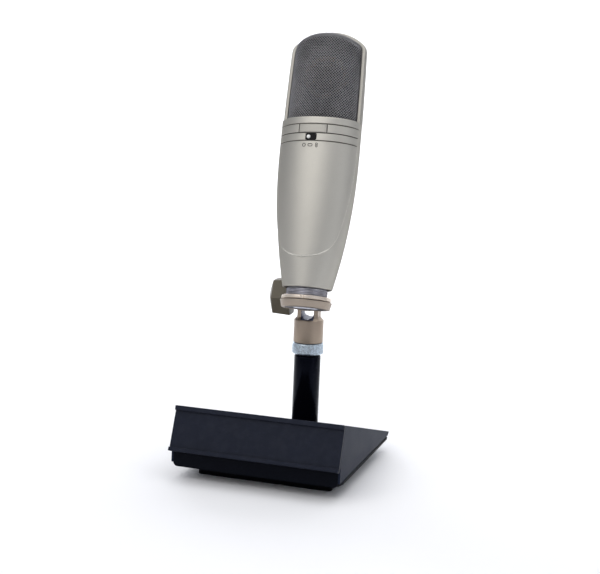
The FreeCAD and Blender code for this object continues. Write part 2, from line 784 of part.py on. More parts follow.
for name, make in base_pieces.items():
    export(name, make())
export("end_cap_left", end_cap(-1))
export("end_cap_right", end_cap(1))

for name, make in fork_pieces.items():
    export(name, placed(make(), fork_frame))
export("ring_bracket", placed(ring_bracket(), pivot_frame))
export("retaining_nut", placed(retaining_nut(), disc_frame))

for name, make in mic_pieces.items():
    export(name, placed(make(), mic_frame))
for end, side in (("front", -1), ("rear", 1)):
    export(end + "_grille", placed(grille(side), mic_frame))
    export("capsule_ring_" + end, placed(capsule_ring(side), mic_frame))
    export("diaphragm_" + end, placed(diaphragm(side), mic_frame))
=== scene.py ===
import json
import math

import bmesh
import bpy
import numpy as np
from mathutils import Matrix, Vector


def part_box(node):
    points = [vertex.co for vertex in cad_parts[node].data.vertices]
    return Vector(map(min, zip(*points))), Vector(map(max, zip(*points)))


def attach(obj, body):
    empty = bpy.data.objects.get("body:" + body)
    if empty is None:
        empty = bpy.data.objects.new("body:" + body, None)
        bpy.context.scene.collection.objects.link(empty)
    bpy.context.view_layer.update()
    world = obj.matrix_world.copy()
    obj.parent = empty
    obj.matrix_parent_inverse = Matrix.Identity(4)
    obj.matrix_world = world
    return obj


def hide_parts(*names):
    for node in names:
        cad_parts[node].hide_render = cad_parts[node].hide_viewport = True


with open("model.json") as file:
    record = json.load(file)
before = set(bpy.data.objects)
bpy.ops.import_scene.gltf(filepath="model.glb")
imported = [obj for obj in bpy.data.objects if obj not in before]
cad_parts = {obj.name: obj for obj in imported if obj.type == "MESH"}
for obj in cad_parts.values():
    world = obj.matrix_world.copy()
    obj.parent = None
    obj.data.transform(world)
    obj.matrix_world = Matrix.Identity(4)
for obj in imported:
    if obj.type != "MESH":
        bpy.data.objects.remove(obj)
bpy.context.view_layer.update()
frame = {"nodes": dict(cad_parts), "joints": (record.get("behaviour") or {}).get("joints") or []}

bl_info = {
    "name": "Desk microphone on a wedge stand",
    "version": (1, 0, 0),
    "blender": (4, 5, 0),
    "location": "3D View > Sidebar > Microphone",
    "description": "Finishes and detailed pieces for a desk stand with a tilting studio microphone",
    "category": "Add Mesh",
}

JOINTS = {joint["name"]: joint for joint in frame["joints"]}
MM = 0.001
MICRON = 0.000001


# ---------------------------------------------------------------- places, from the joints
def axes_matrix(x_axis, z_axis, origin):
    """Matrix that takes local metres to the row frame."""
    z = Vector(z_axis).normalized()
    x = Vector(x_axis).normalized()
    y = z.cross(x).normalized()
    x = y.cross(z)
    turn = Matrix((x, y, z)).transposed().to_4x4()
    return Matrix.Translation(origin) @ turn


RIM_HEIGHT = 11.6 * MM      # the body's rim above the middle of the ring bracket
MIC_AXIS = Vector(JOINTS["mic_twist"]["axis"]).normalized()
RING_CENTRE = Vector(JOINTS["mic_twist"]["pos_m"])
PIVOT = Vector(JOINTS["head_tilt"]["pos_m"])
MIC = axes_matrix(JOINTS["pattern_switch_slide"]["axis"], MIC_AXIS, RING_CENTRE + MIC_AXIS * RIM_HEIGHT)
POST = Matrix.Translation((0, JOINTS["lock_ring_turn"]["pos_m"][1], 0))


# ---------------------------------------------------------------- shader maths
class Shade:
    """A socket that takes part in Python arithmetic, and the one place that makes nodes."""

    def __init__(self, tree, socket=None):
        self.tree = tree
        self.socket = socket

    def node(self, kind, settings=None, inputs=None, output=0):
        """Make a node, set its settings, then its inputs, and give back one output."""
        made = self.tree.nodes.new(kind)
        for key, value in (settings or {}).items():
            if key == "stops":
                ramp = made.color_ramp
                while len(ramp.elements) < len(value):
                    ramp.elements.new(0.5)
                for element, (position, shade) in zip(ramp.elements, value):
                    element.position = position
                    element.color = (shade, shade, shade, 1)
            else:
                setattr(made, key, value)
        for key, value in (inputs or {}).items():
            if isinstance(value, Shade):
                self.tree.links.new(value.socket, made.inputs[key])
            else:
                made.inputs[key].default_value = value
        return Shade(self.tree, made.outputs[output])

    def math(self, operation, *values):
        return self.node("ShaderNodeMath", {"operation": operation}, dict(enumerate(values)))

    def __add__(self, other):
        return self.math("ADD", self, other)

    def __sub__(self, other):
        return self.math("SUBTRACT", self, other)

    def __rsub__(self, other):
        return self.math("SUBTRACT", other, self)

    def __mul__(self, other):
        return self.math("MULTIPLY", self, other)

    __radd__ = __add__
    __rmul__ = __mul__

    def clamp(self):
        return self.node("ShaderNodeClamp", None, {"Value": self})

    def blend(self, first, second):
        """Colour between two colours, with this value as the factor."""
        return self.node("ShaderNodeMix", {"data_type": "RGBA"}, {0: self, 6: first, 7: second}, 2)

    def place(self):
        return self.node("ShaderNodeTexCoord", None, None, "Object")

    def noise(self, scale, detail=3.0, stretch=None, distortion=0.0):
        """Noise between 0 and 1, with this many features in a metre."""
        where = self.place()
        if stretch:
            where = self.node("ShaderNodeVectorMath", {"operation": "MULTIPLY"}, {0: where, 1: stretch})
        values = {"Vector": where, "Scale": scale, "Detail": detail, "Distortion": distortion}
        return self.node("ShaderNodeTexNoise", None, values)

    def flakes(self, scale):
        """Random value per small cell."""
        cells = self.node("ShaderNodeTexVoronoi", None, {"Vector": self.place(), "Scale": scale}, 1)
        return self.node("ShaderNodeSeparateColor", None, {"Color": cells}, 0)

    def ramp(self, low, high):
        """This value, stretched so that low gives 0 and high gives 1."""
        return self.node("ShaderNodeMapRange", None, {"Value": self, "From Min": low, "From Max": high})

    def part(self, axis):
        """One coordinate of a vector: 0, 1 or 2."""
        return self.node("ShaderNodeSeparateXYZ", None, {"Vector": self}, axis)

    def upward(self):
        """1 where the surface faces up."""
        return self.node("ShaderNodeNewGeometry", None, None, "Normal").part(2).clamp()

    def bump(self, height, distance):
        values = {"Height": height, "Distance": distance, "Strength": 1.0}
        return self.node("ShaderNodeBump", None, values)


def surface(name, recipe, **constants):
    """A material whose varying inputs come from recipe(start) and whose others are constants."""
    if name in bpy.data.materials:
        return bpy.data.materials[name]
    material = bpy.data.materials.new(name)
    material.use_nodes = True
    tree = material.node_tree
    shader = tree.nodes["Principled BSDF"]
    for key, value in constants.items():
        shader.inputs[key.replace("_", " ")].default_value = value
    for key, value in recipe(Shade(tree)).items():
        tree.links.new(value.socket, shader.inputs[key])
    return material


def rgb(red, green, blue):
    """Screen colour, 0 to 255, as a linear colour."""
    linear = []
    for value in (red, green, blue):
        share = value / 255
        linear.append(share / 12.92 if share <= 0.04045 else ((share + 0.055) / 1.055) ** 2.4)
    return (*linear, 1.0)


def scaled(colour, factor):
    """Lighter or darker colour."""
    return (*(min(1.0, c * factor) for c in colour[:3]), 1.0)


def tinted(colour, *factors):
    """Colour with its red, green and blue scaled one by one."""
    return (*(c * factor for c, factor in zip(colour, factors)), 1.0)


# ---------------------------------------------------------------- finishes
def powder_paint(name, colour, rough=0.42, grain=1.0, dust=0.04, gloss=0.09):
    """Satin stoved paint: slight mottle, orange peel, a trace of dust on top faces."""
    def recipe(s):
        mottle = s.noise(55, 4)
        fine = s.noise(620, 3)
        peel = s.noise(1500, 2)
        dusty = s.upward() * s.noise(160, 5).ramp(0.42, 0.75) * dust
        tone = (mottle * 0.6 + fine * 0.4).ramp(0.3, 0.7)
        tone = tone.blend(scaled(colour, 0.92), scaled(colour, 1.08))
        base = dusty.blend(tone, rgb(150, 152, 160))
        scuffs = s.noise(240, 6, (1, 8, 1), 0.6).ramp(0.66, 0.74)
        roughness = mottle * 0.12 + (rough - 0.06) + scuffs * 0.10 + dusty * 1.5
        return {"Base Color": base, "Roughness": roughness.clamp(),
                "Normal": s.bump(peel * 0.7 + fine * 0.3, 0.00012 * grain)}
    return surface(name, recipe, Specular_IOR_Level=gloss)


def gloss_paint(name, colour, rough=0.16):
    """Gloss enamel on a tube, with fine rubbing marks round it."""
    def recipe(s):
        rubbing_and_highlight = s.noise(900, 3, (0.15, 0.15, 1.0)).ramp(0.5, 0.8)
        mottle = s.noise(70, 3)
        base = mottle.blend(scaled(colour, 0.7), scaled(colour, 1.3))
        return {"Base Color": base, "Roughness": (rubbing_and_highlight * 0.14 + mottle * 0.06 + rough).clamp(),
                "Normal": s.bump(s.noise(260, 2), 0.00004)}
    return surface(name, recipe, Specular_IOR_Level=0.1, Specular_Tint=(0.55, 0.65, 1.0, 1.0))


def metallic_lacquer(name, colour, metallic=0.7, rough=0.36, flake=1.0, edge=0.3):
    """Metal-flake lacquer on a casting; flake is its bump, edge how much it reflects at a low angle."""
    def recipe(s):
        flakes = s.flakes(3600)
        cloud = s.noise(35, 3)
        tone = (flakes * 0.55 + cloud * 0.45).blend(scaled(colour, 0.93), scaled(colour, 1.07))
        smears = s.noise(120, 5, None, 0.8).ramp(0.55, 0.85)
        return {"Base Color": tone, "Roughness": (flakes * 0.07 + smears * 0.05 + rough).clamp(),
                "Normal": s.bump(flakes * 0.5 + s.noise(2400, 2) * 0.5, 0.000035 * flake)}
    return surface(name, recipe, Metallic=metallic, Specular_IOR_Level=0.3,
                   Specular_Tint=(edge, edge, edge, 1))


def bare_metal(name, colour, rough=0.3, grain=(1, 1, 1), cloudy=0.15, bump=0.00003, patch=150, edge=1.0):
    """Plated or turned metal: tool marks stretched by grain, cloudy patches of this many to a metre."""
    def recipe(s):
        marks = s.noise(1400, 3, grain)
        patches = s.noise(patch, 4, None, 0.5)
        tone = (marks * 0.35 + patches * 0.65).ramp(0.3, 0.7)
        base = tone.blend(scaled(colour, 1 - cloudy), scaled(colour, 1 + cloudy))
        return {"Base Color": base, "Roughness": (marks * 0.16 + patches * 0.10 + (rough - 0.1)).clamp(),
                "Normal": s.bump(marks, bump)}
    return surface(name, recipe, Metallic=1.0, Specular_Tint=(edge, edge, edge, 1))


def moulded(name, colour, rough=0.5, grain=1.0, spread=0.15, gloss=0.3):
    """Moulded plastic or rubber with a spark-eroded grain."""
    def recipe(s):
        cells = s.noise(1700, 2)
        cloud = s.noise(90, 4)
        base = (cloud * 0.7 + cells * 0.3).ramp(0.3, 0.7).blend(
            scaled(colour, 1 - spread), scaled(colour, 1 + spread))
        return {"Base Color": base, "Roughness": (cloud * 0.14 + (rough - 0.07)).clamp(),
                "Normal": s.bump(cells, 0.00009 * grain)}
    return surface(name, recipe, Specular_IOR_Level=gloss)


def circuit_lacquer(name):
    """Green board with darker tracks."""
    def recipe(s):
        tracks = s.noise(260, 0, (3.0, 3.0, 0.4)).ramp(0.48, 0.52)
        base = tracks.blend(rgb(18, 74, 44), rgb(30, 104, 62))
        return {"Base Color": base, "Roughness": tracks * 0.1 + 0.35, "Normal": s.bump(tracks, 0.00005)}
    return surface(name, recipe)


def stage_floor(name, colour):
    """Plain pale matt floor."""
    def recipe(s):
        cloud = s.noise(6, 2)
        return {"Base Color": cloud.blend(scaled(colour, 0.995), scaled(colour, 1.0)),
                "Roughness": cloud * 0.04 + 0.68}
    return surface(name, recipe, Specular_IOR_Level=0.1)


# ---------------------------------------------------------------- meshes
def make_piece(name, points, faces, material, body, place, replaces=(), crease=40):
    """Mesh in local millimetres, put in place, smoothed, and riding on its body."""
    mesh = bpy.data.meshes.new(name)
    mesh.from_pydata([tuple(p) for p in np.asarray(points, float) * MM], [], faces)
    mesh.transform(place)
    work = bmesh.new()
    work.from_mesh(mesh)
    bmesh.ops.remove_doubles(work, verts=work.verts, dist=0.2 * MICRON)
    bmesh.ops.recalc_face_normals(work, faces=work.faces)
    work.to_mesh(mesh)
    work.free()
    mesh.shade_smooth()
    mesh.set_sharp_from_angle(angle=math.radians(crease))
    mesh.materials.append(material)
    piece = bpy.data.objects.new(name, mesh)
    bpy.context.scene.collection.objects.link(piece)
    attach(piece, body)
    if replaces:
        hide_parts(*replaces)
    return piece


def strip_faces(rows, columns, closed=True, first=0):
    """Quads between rows of points that were listed one row after another."""
    faces = []
    last = columns if closed else columns - 1
    for row in range(rows - 1):
        low = first + row * columns
        for column in range(last):
            after = (column + 1) % columns
            faces.append((low + column, low + after, low + columns + after, low + columns + column))
    return faces


def lathe(profile, segments=96, relief=None):
    """(radius, height) points turned about Z; relief(angle, index) adds to the radius."""
    points = []
    for index, (radius, height) in enumerate(profile):
        for step in range(segments):
            angle = 2 * math.pi * step / segments
            grown = radius + (relief(angle, index) if relief else 0.0)
            points.append((grown * math.cos(angle), grown * math.sin(angle), height))
    return points, strip_faces(len(profile), segments)


def thread_points(low, high, pitch, columns, radius_at):
    """Rows of points up a thread; radius_at(height, valley) has valley 0 on a crest and 1 between."""
    rows = 8 * int((high - low) / pitch)
    points = []
    for row in range(rows + 1):
        height = low + (high - low) * row / rows
        for column in range(columns):
            turn = column / columns
            phase = ((height - low) / pitch - turn) % 1.0
            reach = radius_at(height, abs(2 * phase - 1))
            angle = 2 * math.pi * turn
            points.append((reach * math.cos(angle), reach * math.sin(angle), height))
    return points, rows + 1


def soften(path, passes):
    """The path with its corners smoothed and its ends kept."""
    for _ in range(passes):
        path = np.concatenate([path[:1], (path[:-2] + 2 * path[1:-1] + path[2:]) / 4, path[-1:]])
    return path


def unit(vectors):
    return vectors / np.linalg.norm(vectors, axis=1)[:, None]


def lengths(path):
    """Length along a path from its first point to each of its points."""
    return np.concatenate([[0], np.cumsum(np.linalg.norm(np.diff(path, axis=0), axis=1))])


def dress(node, material, edge=0.0, segments=2, angle=32):
    """Give a CAD node its finish, and soften its edges in millimetres."""
    part = frame["nodes"][node]
    part.data.materials.clear()
    part.data.materials.append(material)
    if edge:
        weld = part.modifiers.new("weld", "WELD")
        weld.merge_threshold = 2 * MICRON
        bevel = part.modifiers.new("soft edges", "BEVEL")
        bevel.width = edge * MM
        bevel.segments = segments
        bevel.limit_method = "ANGLE"
        bevel.angle_limit = math.radians(angle)
        bevel.harden_normals = True


# ---------------------------------------------------------------- microphone outline, in millimetres
RIM_RADIUS = 18.0
WIDEST = 29.5
DEEPEST = 21.5
WIDEST_AT = 100.0
HEAD_AT = 122.0                       # where the casting ends and the wire head begins
FULLNESS = 2.2                        # how late the body narrows towards its rim
MEAN_RADIUS = 24.5                    # turns an angle round the body into a distance
DOME_TOP = 190.8
DOME_RADIUS = 40.0
DOME_CENTRE = DOME_TOP - DOME_RADIUS
GROOVES = (116.7, 110.1, 104.3)
BADGE = (10.2, 113.4, 3.0)            # half its length, height, half its height
WINDOW = (-0.7, 107.2, 3.9, 2.5)      # sideways, height, half length, half height
WINDOW_CORNER = 0.9
SHIELD_EDGE = ((0.0, 20.8), (18.0, 21.8), (30.0, 23.2), (46.0, 27.0), (55.0, 31.5), (60.5, 36.4),
               (65.0, 44.5), (68.5, 53.0), (73.5, 67.6), (76.5, 84.0), (79.0, 122.0))


def swell(w, most, less):
    """Half the body's size at height w; it is less by this much 75 mm above its widest place."""
    low = most - (most - RIM_RADIUS) * np.clip((WIDEST_AT - w) / WIDEST_AT, 0, 2) ** FULLNESS
    return np.where(w <= WIDEST_AT, low, most - less * ((w - WIDEST_AT) / 75.0) ** 2)


def half_width(w):
    return swell(w, WIDEST, 1.1)


def half_depth(w):
    return swell(w, DEEPEST, 0.9)


def on_skin(angle, w, out):
    """Points this far outside the body, at these angles (radians, 0 in front) and heights."""
    angle, w, out = np.broadcast_arrays(np.asarray(angle, float), np.asarray(w, float), out)
    x = (half_width(w) + out) * np.sin(angle)
    y = -(half_depth(w) + out) * np.cos(angle)
    return np.stack([x, y, w], axis=-1)


def dome_height(radius, *offsets):
    """Height of the head's dome at these distances from its axis."""
    return np.sqrt(np.clip(radius ** 2 - sum(o ** 2 for o in offsets), 0, None)) + DOME_CENTRE


def step_up(distance, width):
    """0 to 1 over this width, with soft ends."""
    share = np.clip(distance / width, 0, 1)
    return share * share * (3 - 2 * share)


def groove(distance, half):
    """1 on a groove's line and 0 from half its width outward."""
    return np.clip(1 - np.abs(distance) / half, 0, 1) ** 0.7


def shield_distance(angle, w):
    """How far inside the shield's edge each point is, measured over the surface."""
    edge = np.array(SHIELD_EDGE)
    dense = np.linspace(0, len(edge) - 1, 260)
    edge_angle = np.radians(np.interp(dense, range(len(edge)), edge[:, 0]))
    edge_w = np.interp(dense, range(len(edge)), edge[:, 1])
    across = np.abs(angle) * MEAN_RADIUS
    best = np.full(angle.shape, np.inf)
    for edge_across, height in zip(edge_angle * MEAN_RADIUS, edge_w):
        best = np.minimum(best, np.hypot(across - edge_across, w - height))
    limit = np.interp(w, edge[:, 1], np.radians(edge[:, 0]))
    inside = (np.abs(angle) < limit) & (w > edge[0, 1])
    return np.where(inside, best, -best)


# ---------------------------------------------------------------- settings
def number(name, description, default, **extra):
    return bpy.props.FloatProperty(name=name, description=description, default=default, **extra)


def colour_of(name, description, default):
    return bpy.props.FloatVectorProperty(name=name, description=description, default=default[:3], size=3,
                                         subtype="COLOR", min=0, max=1)


class StandSettings(bpy.types.PropertyGroup):
    """Finish of the base and the post."""

    paint: colour_of("Base paint", "Colour of the wedge base", rgb(25, 29, 41))
    edge: number("Edge softness", "Radius on sheet edges in millimetres", 0.3, min=0, max=1)
    post_paint: colour_of("Post enamel", "Colour of the post", rgb(4, 4, 9))


class HeadSettings(bpy.types.PropertyGroup):
    """Swivel, ring and knob."""

    lacquer: colour_of("Swivel lacquer", "Colour of the cast swivel pieces", rgb(152, 138, 124))
    # The knob's default is the tan swivel finish as it looks in shade: painted shade.
    knob: colour_of("Knob", "Colour of the clamp knob", rgb(94, 88, 75))
    knurl: number("Knurl depth", "Depth of the lock ring's knurl in millimetres", 0.42, min=0, max=0.6)
    thread: number("Thread pitch", "Pitch of the neck's thread in millimetres", 1.0, min=0.5, max=2)


class MicrophoneSettings(bpy.types.PropertyGroup):
    """Body, grille and switch."""

    lacquer: colour_of("Body lacquer", "Colour of the microphone's body", rgb(189, 186, 178))
    shield: number("Shield step", "How far the front shield stands out, in millimetres", 0.8,
                   min=0.2, max=1)
    pitch: number("Wire pitch", "Distance between grille wires in millimetres", 1.45, min=0.8, max=4)
    wire: number("Wire radius", "Radius of the grille's wires in millimetres", 0.25, min=0.1, max=0.6)


class StageSettings(bpy.types.PropertyGroup):
    """Floor, lights and camera."""

    floor: colour_of("Floor", "Colour of the floor", (0.93, 0.93, 0.94))
    lens: number("Lens", "Focal length on a 36 mm sensor", 66.38, min=20, max=200, unit="CAMERA")
    camera: bpy.props.FloatVectorProperty(
        name="Camera", description="Place of the camera", default=(0.24185, -0.74227, 0.23297),
        subtype="TRANSLATION", unit="LENGTH")
    azimuth: number("Azimuth", "Camera's turn round the object", math.radians(17.62), subtype="ANGLE")
    elevation: number("Elevation", "Camera's height above the horizon", math.radians(7.49),
                      subtype="ANGLE")
    roll: number("Roll", "Camera's lean to one side", math.radians(2.34), subtype="ANGLE")


def settings(context, group):
    return getattr(context.scene, "mic_" + group)


def full(colour):
    """A setting's colour with its alpha."""
    return (*colour, 1.0)


# ---------------------------------------------------------------- base
class MIC_OT_wedge(bpy.types.Operator):
    """Painted sheets of the wedge base"""

    bl_idname = "mic.wedge"
    bl_label = "Wedge base"

    def execute(self, context):
        stand = settings(context, "stand")
        paint = full(stand.paint)
        dress("front_panel", powder_paint("panel satin black", paint), 0.22, 2, 40)
        dress("top_cover", powder_paint("cover satin black", scaled(paint, 0.9), 0.46), stand.edge)
        # The end caps take the base paint made lighter and bluer: painted light standing for their lit
        # side faces.
        side = powder_paint("end cap black with painted light", tinted(paint, 1.4, 1.45, 1.5), 0.38, 0.8, 0.03, 0.03)
        dress("end_cap_left", side, stand.edge)
        dress("end_cap_right", side, stand.edge)
        # The tray takes the base paint at a third of its brightness: painted shade under the panel's lip.
        tray = powder_paint("tray black with painted shade", scaled(paint, 0.3), 0.5, 1.0, 0.02, 0.04)
        dress("base_tray", tray, 0.35)
        return {"FINISHED"}


class MIC_OT_foot(bpy.types.Operator):
    """Weight, rubber pad and the screws under the base"""

    bl_idname = "mic.foot"
    bl_label = "Weight and pad"

    def execute(self, context):
        dress("ballast_plate", powder_paint("weight matt black", rgb(24, 24, 28), 0.6, 1.6), 0.3)
        dress("foot_pad", moulded("pad rubber", rgb(12, 13, 16), 0.82, 2.2, 0.2, 0.08), 0.5)
        plated = bare_metal("plated screws", rgb(150, 152, 158), 0.34)
        for node in ("plate_screws", "cap_screws", "post_bolt", "post_washer"):
            dress(node, plated, 0.2)
        return {"FINISHED"}


class MIC_OT_post(bpy.types.Operator):
    """Post with its flange, plug, grommet and stand thread"""

    bl_idname = "mic.post"
    bl_label = "Post"

    def execute(self, context):
        enamel = gloss_paint("post enamel", full(settings(context, "stand").post_paint))
        dress("post", enamel, 0.25)
        dress("post_grommet", moulded("grommet rubber", rgb(10, 10, 13), 0.7, 1.4, 0.2, 0.1), 0.12)
        turned = bare_metal("turned steel", rgb(150, 150, 150), 0.32, (0.1, 0.1, 1.0))
        dress("post_flange", turned, 0.3)
        dress("post_plug", turned)
        self.thread(turned)
        return {"FINISHED"}

    def thread(self, metal):
        """Stand thread, 27 turns to the inch, between the post's insert and the swivel."""
        low, high = (corner.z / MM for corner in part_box("thread_stud"))
        radius, pitch, depth, lead_in, columns = 7.94, 0.94, 0.45, 0.9, 48

        def radius_at(height, valley):
            return radius - depth * valley - (1.0 - min(1.0, high - height)) * lead_in

        points, rows = thread_points(low, high, pitch, columns, radius_at)
        faces = strip_faces(rows, columns)
        faces.append(tuple(range(columns)))
        faces.append(tuple(range((rows - 1) * columns, rows * columns)))
        make_piece("stand_thread", points, faces, metal, "base", POST, ("thread_stud",))


# ---------------------------------------------------------------- swivel
class MIC_OT_lock_ring(bpy.types.Operator):
    """Knurled zinc ring under the swivel"""

    bl_idname = "mic.lock_ring"
    bl_label = "Lock ring"

    def execute(self, context):
        depth = settings(context, "head").knurl
        lowest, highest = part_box("lock_ring")
        low, high = lowest.z / MM, highest.z / MM
        outer = (highest.x - lowest.x) / 2 / MM
        bore, segments, ridges, slant, flat = 8.0, 320, 40, 4.2, -0.6
        band = [low + 1.1 + (high - low - 2.2) * step / 30 for step in range(31)]
        profile = [(bore, low + 0.6), (bore + 0.6, low), (outer - 0.9, low), (outer - 0.35, low + 0.3),
                   (outer - 0.3, low + 0.9)]
        first = len(profile)
        profile += [(outer, height) for height in band]
        last = len(profile)
        profile += [(outer - 0.3, high - 0.9), (outer - 0.35, high - 0.3), (outer - 0.9, high),
                    (bore + 0.6, high), (bore, high - 0.6)]

        def relief(angle, index):
            if not first <= index < last:
                return 0.0
            height = profile[index][1]
            one = math.cos(ridges * angle + height * slant)
            other = math.cos(ridges * angle - height * slant)
            return -depth * (1 - max(one, flat) * 0.5 - max(other, flat) * 0.5) * 0.62

        points, faces = lathe(profile + profile[:1], segments, relief)
        zinc = bare_metal("bright zinc", rgb(190, 203, 214), 0.36, (1, 1, 1), 0.5, 0.00012, 620)
        make_piece("knurled_ring", points, faces, zinc, "lock_ring", POST, ("lock_ring",),
                   60)
        return {"FINISHED"}


class MIC_OT_swivel(bpy.types.Operator):
    """Cast fork with its bolt and washers"""

    bl_idname = "mic.swivel"
    bl_label = "Swivel fork"

    def execute(self, context):
        lacquer = full(settings(context, "head").lacquer)
        dress("swivel_fork", self.casting(scaled(lacquer, 1.12)), 0.3, 3)
        bright = bare_metal("bright bolt", rgb(160, 160, 160), 0.28)
        dress("pivot_bolt", bright, 0.3, 3)
        dress("thrust_washer", bright, 0.15)
        dress("friction_washers", moulded("washer fibre", rgb(48, 42, 38), 0.7, 1.5), 0.12)
        return {"FINISHED"}

    def casting(self, colour):
        """Satin lacquer outside, and painted shade, a dark blue-grey, on the walls of the slot."""
        slot_half = 4.7 * MM
        floor_low, floor_high = 100.5 * MM, 101.4 * MM      # the slot's bottom; above it the slot's walls get painted shade
        side = Vector(JOINTS["head_tilt"]["axis"]).normalized()
        offset = side.dot(PIVOT)

        def recipe(s):
            where = s.place()
            across = s.math("ABSOLUTE", where.part(0) * side.x + where.part(1) * side.y - offset)
            outside = across.ramp(slot_half + 0.1 * MM, slot_half + 0.3 * MM)
            below = 1 - where.part(2).ramp(floor_low, floor_high)
            free_of_slot_shade = s.math("MAXIMUM", outside, below)
            flakes = s.flakes(3600)
            cloud = s.noise(45, 4)
            tone = (flakes * 0.45 + cloud * 0.55).blend(scaled(colour, 0.9), scaled(colour, 1.1))
            # Inside the slot the colour turns dark blue-grey: painted shade on the slot's walls.
            return {"Base Color": free_of_slot_shade.blend(rgb(66, 70, 88), tone),
                    "Roughness": flakes * 0.08 + 0.34,
                    "Normal": s.bump(flakes * 0.5 + s.noise(2400, 2) * 0.5, 0.00005)}
        return surface("fork lacquer and slot shade", recipe, Metallic=0.85, Specular_Tint=(0.9, 0.9, 0.9, 1))


class MIC_OT_knob(bpy.types.Operator):
    """Six-sided clamp knob and its thread insert"""

    bl_idname = "mic.knob"
    bl_label = "Clamp knob"

    def execute(self, context):
        # The knob's colour is the tan finish as it looks in shade: painted shade.
        colour = full(settings(context, "head").knob)
        dress("clamp_knob", moulded("knob plastic in painted shade", colour, 0.46, 1.4, 0.08), 0.7, 3, 20)
        dress("knob_insert", bare_metal("turned brass", rgb(196, 164, 96), 0.3), 0.1)
        return {"FINISHED"}


class MIC_OT_ring(bpy.types.Operator):
    """Ring bracket with its arm, and the nut above it"""

    bl_idname = "mic.ring"
    bl_label = "Ring bracket"

    def execute(self, context):
        lacquer = full(settings(context, "head").lacquer)
        ring = metallic_lacquer("ring lacquer", tinted(lacquer, 1.25, 1.3, 1.36), 0.7, 0.38, 1.3, 0.8)
        nut = metallic_lacquer("nut lacquer", tinted(lacquer, 2.2, 2.4, 2.6), 0.7, 0.34, 1.0, 1.0)
        dress("ring_bracket", ring, 0.25, 3)
        dress("retaining_nut", nut, 0.25, 3)
        return {"FINISHED"}


# ---------------------------------------------------------------- microphone
class MIC_OT_neck(bpy.types.Operator):
    """Threaded neck with the three-pin socket in it"""

    bl_idname = "mic.neck"
    bl_label = "Threaded neck"

    def execute(self, context):
        pitch = settings(context, "head").thread
        low, high, radius, columns = -14.2, -0.3, 15.2, 96
        depth, chamfer, waist, shoulder, mouth, bore = 0.5, 0.6, 14.2, 8.4, 9.55, 9.3

        def radius_at(height, valley):
            fade = min(1.0, (height - low) / 0.8, (high - height) / 0.8)
            return radius - (depth * valley * fade + chamfer * (1 - fade))

        points, rows = thread_points(low, high, pitch, columns, radius_at)
        inside = [(waist, 0.0), (waist, shoulder), (bore, shoulder), (bore, low + 5.6),
                  (mouth, low + 5.5), (mouth, low + 0.5), (mouth + 0.5, low)]
        points += lathe(inside, columns)[0]
        rows += len(inside)
        faces = strip_faces(rows, columns)
        last = (rows - 1) * columns
        for column in range(columns):
            after = (column + 1) % columns
            faces.append((last + column, last + after, after, column))
        steel = bare_metal("dark thread steel", rgb(196, 196, 204), 0.34, (0.1, 0.1, 1.0), 0.2, edge=0.05)
        make_piece("neck_thread", points, faces, steel, "microphone", MIC, ("mic_neck",),
                   50)
        dress("connector_insert", moulded("socket plastic", rgb(20, 20, 22), 0.5), 0.2)
        dress("connector_pins", bare_metal("gold pins", rgb(214, 176, 96), 0.2))
        dress("bottom_plate", steel)
        return {"FINISHED"}


